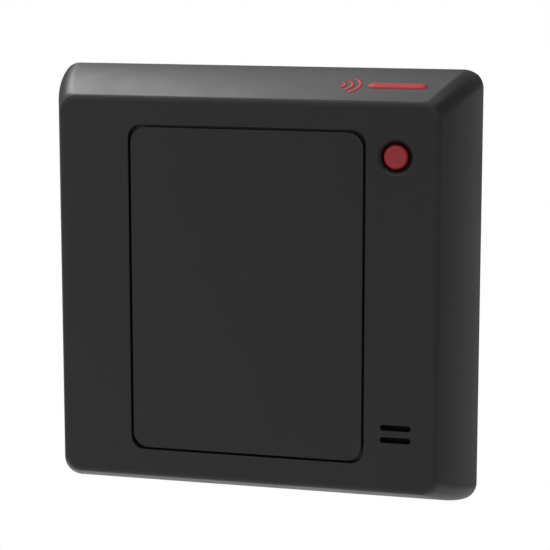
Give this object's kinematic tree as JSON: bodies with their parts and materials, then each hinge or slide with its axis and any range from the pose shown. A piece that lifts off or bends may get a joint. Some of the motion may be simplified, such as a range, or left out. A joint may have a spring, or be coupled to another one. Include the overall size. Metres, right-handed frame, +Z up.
{
  "type": "wall-mounted card reader",
  "caption": "Square wall-mounted proximity card reader with leaning sides, flush panel insert, round red status lens and sounder slots; it swings out on top hooks from its wall plate.",
  "frame": {"origin": "centre of the wall plate's rear face, on the wall", "axes": "+Z up, +Y into the wall, +X to the right as the reader's face is looked at"},
  "size_m": [0.0862, 0.0175, 0.086],
  "materials": {
    "cover_plastic": "satin, fine moulded texture",
    "panel_plastic": "satin, fine moulded texture",
    "base_plastic": "matt moulded",
    "lens_red": "gloss, deep red, translucent",
    "soft_black": "matt rubber and foam",
    "tape_tan": "matt adhesive tape",
    "nylon_white": "matt nylon",
    "board_green": "solder mask, semi-gloss",
    "copper_wire": "enamelled copper",
    "ferrite_grey": "matt sintered",
    "chip_black": "matt moulded epoxy",
    "part_tan": "matt moulded",
    "terminal_green": "moulded, semi-gloss",
    "switch_red": "moulded",
    "zinc_steel": "zinc plated",
    "brass_bush": "turned brass"
  },
  "bodies": {
    "wall_bracket": {"wall_plate": "base_plastic"},
    "reader_head": {"front_cover": "cover_plastic", "panel_insert": "panel_plastic", "rear_cover": "base_plastic", "tamper_housing": "base_plastic", "status_lens": "lens_red", "lens_seal": "soft_black", "perimeter_seal": "soft_black", "sounder_gasket": "soft_black", "sound_mesh": "soft_black", "panel_tape": "tape_tan", "led_spacer": "nylon_white", "coil_former": "nylon_white", "status_led": "nylon_white", "main_board": "board_green", "antenna_coil": "copper_wire", "ferrite_sheet": "ferrite_grey", "power_inductor": "ferrite_grey", "microcontroller": "chip_black", "reader_chip": "chip_black", "voltage_regulator": "chip_black", "surge_protectors": "chip_black", "sounder": "chip_black", "capacitors": "part_tan", "terminal_block": "terminal_green", "tamper_base": "switch_red", "board_screws": "zinc_steel", "rear_cover_screws": "zinc_steel", "terminal_screws": "zinc_steel", "terminal_clamps": "zinc_steel", "crystal": "zinc_steel", "tamper_spring": "zinc_steel", "lock_bush": "brass_bush"},
    "tamper_button": {"tamper_plunger": "nylon_white"},
    "lock": {"lock_screw": "zinc_steel"}
  },
  "joints": [
    {"name": "head_swing", "type": "hinge", "parent": "wall_bracket", "child": "reader_head", "pos_m": [0, -0.0016, 0.041], "axis": [-1, 0, 0], "range_deg": [0, 25]},
    {"name": "tamper_travel", "type": "slide", "parent": "reader_head", "child": "tamper_button", "axis": [0, 1, 0], "range_m": [0, 0.0015], "stiffness_N_per_m": 120, "springref_m": 0.004},
    {"name": "lock_travel", "type": "slide", "parent": "reader_head", "child": "lock", "axis": [0, 0, -1], "range_m": [0, 0.002]}
  ]
}
